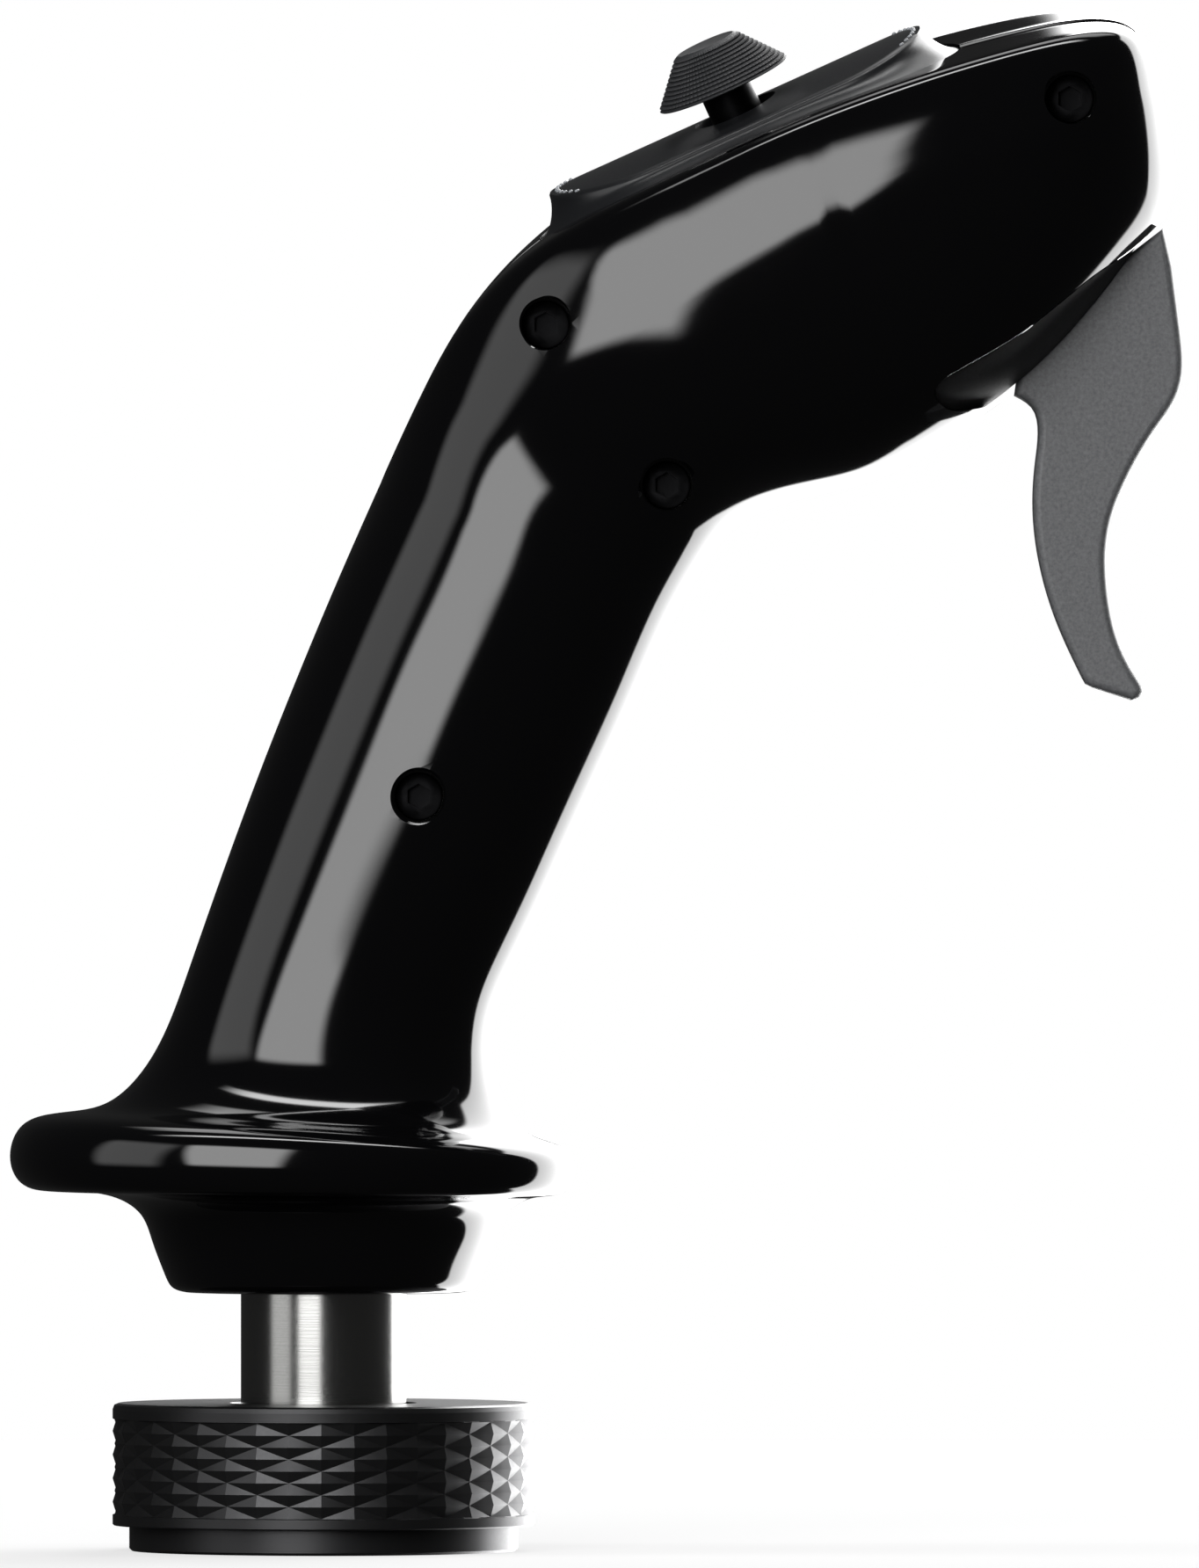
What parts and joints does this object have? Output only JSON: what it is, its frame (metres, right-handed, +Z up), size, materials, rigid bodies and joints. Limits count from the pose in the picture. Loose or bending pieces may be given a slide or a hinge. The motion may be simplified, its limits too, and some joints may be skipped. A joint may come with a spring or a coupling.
{
  "type": "flight joystick grip",
  "caption": "Two-shell flight joystick grip with a canted thumb stick pad, a long hooked trigger and a knurled coupling collar on a steel shaft",
  "frame": {"origin": "on the shaft's axis in the plane of the coupling collar's lower face", "axes": "+X forward, the way the trigger points; +Y to the pilot's left; +Z up along the shaft. The shells part on Y = 0."},
  "size_m": [0.1333, 0.056, 0.1756],
  "materials": {
    "shaft": "satin",
    "shaft_foot": "satin",
    "shaft_block": "matte",
    "grub_screws": "satin",
    "connector_insert": "matte",
    "connector_pins": "gloss",
    "locating_peg": "satin",
    "shell_right": "gloss",
    "shell_left": "gloss",
    "shell_screws": "satin",
    "brass_inserts": "satin",
    "top_pad": "satin",
    "module_plate": "satin",
    "plate_screws": "satin",
    "stick_case": "matte",
    "press_switch": "matte",
    "module_board": "satin",
    "trigger_cradle": "matte",
    "trigger_pin": "satin",
    "trigger_switch": "matte",
    "switch_screws": "satin",
    "controller_board": "satin",
    "controller_chip": "matte",
    "board_plugs": "satin",
    "board_screws": "satin",
    "main_lead": "matte",
    "stick_lead": "matte",
    "trigger_lead": "matte",
    "trigger_spring": "satin",
    "coupling_collar": "satin",
    "slip_washer": "satin",
    "trigger": "satin",
    "switch_plunger": "satin",
    "gimbal_ring": "matte",
    "stick_hub": "matte",
    "press_spring": "satin",
    "stick_rod": "satin",
    "stick_cap": "matte",
    "press_plunger": "satin"
  },
  "bodies": {
    "grip": {"shaft": "shaft", "shaft_foot": "shaft_foot", "shaft_block": "shaft_block", "grub_screws": "grub_screws", "connector_insert": "connector_insert", "connector_pins": "connector_pins", "locating_peg": "locating_peg", "shell_right": "shell_right", "shell_left": "shell_left", "shell_screws": "shell_screws", "brass_inserts": "brass_inserts", "top_pad": "top_pad", "module_plate": "module_plate", "plate_screws": "plate_screws", "stick_case": "stick_case", "press_switch": "press_switch", "module_board": "module_board", "trigger_cradle": "trigger_cradle", "trigger_pin": "trigger_pin", "trigger_switch": "trigger_switch", "switch_screws": "switch_screws", "controller_board": "controller_board", "controller_chip": "controller_chip", "board_plugs": "board_plugs", "board_screws": "board_screws", "main_lead": "main_lead", "stick_lead": "stick_lead", "trigger_lead": "trigger_lead", "trigger_spring": "trigger_spring"},
    "collar": {"coupling_collar": "coupling_collar"},
    "washer": {"slip_washer": "slip_washer"},
    "trigger": {"trigger": "trigger"},
    "trigger_plunger": {"switch_plunger": "switch_plunger"},
    "ring": {"gimbal_ring": "gimbal_ring"},
    "hub": {"stick_hub": "stick_hub", "press_spring": "press_spring"},
    "stick": {"stick_rod": "stick_rod", "stick_cap": "stick_cap"},
    "press_plunger": {"press_plunger": "press_plunger"}
  },
  "joints": [
    {"name": "collar_slide", "type": "slide", "parent": "grip", "child": "washer", "axis": [0, 0, 1], "range_m": [0, 0.0124]},
    {"name": "collar_spin", "type": "hinge", "parent": "washer", "child": "collar", "pos_m": [0, 0, 0.0108], "axis": [0, 0, 1], "continuous": true},
    {"name": "trigger_pull", "type": "hinge", "parent": "grip", "child": "trigger", "pos_m": [0.0865, 0, 0.1476], "axis": [0, 1, 0], "range_deg": [0, 10], "stiffness_Nm_per_rad": 0.5, "deforming": ["trigger_spring"]},
    {"name": "trigger_plunger_slide", "type": "slide", "parent": "grip", "child": "trigger_plunger", "axis": [0, 0, 1], "range_m": [0, 0.00152]},
    {"name": "stick_sideways", "type": "hinge", "parent": "grip", "child": "ring", "pos_m": [0.04924, 0.00084, 0.15848], "axis": [0.9114, 0, 0.4115], "range_deg": [-11, 11], "stiffness_Nm_per_rad": 0.05},
    {"name": "stick_fore_aft", "type": "hinge", "parent": "ring", "child": "hub", "pos_m": [0.04924, 0.00084, 0.15848], "axis": [-0.0573, 0.9903, 0.1268], "range_deg": [-11, 11], "stiffness_Nm_per_rad": 0.05},
    {"name": "stick_press", "type": "slide", "parent": "hub", "child": "stick", "axis": [0.4075, 0.1392, -0.9025], "range_m": [0, 0.0005], "stiffness_N_per_m": 800, "deforming": ["press_spring"]},
    {"name": "press_plunger_slide", "type": "slide", "parent": "grip", "child": "press_plunger", "axis": [0.4075, 0.1392, -0.9025], "range_m": [0, 0.0005]}
  ],
  "couplings": [
    {"joint": "trigger_plunger_slide", "follows": "trigger_pull", "m_per_rad": 0.008709},
    {"joint": "press_plunger_slide", "follows": "stick_press", "ratio": 1}
  ]
}
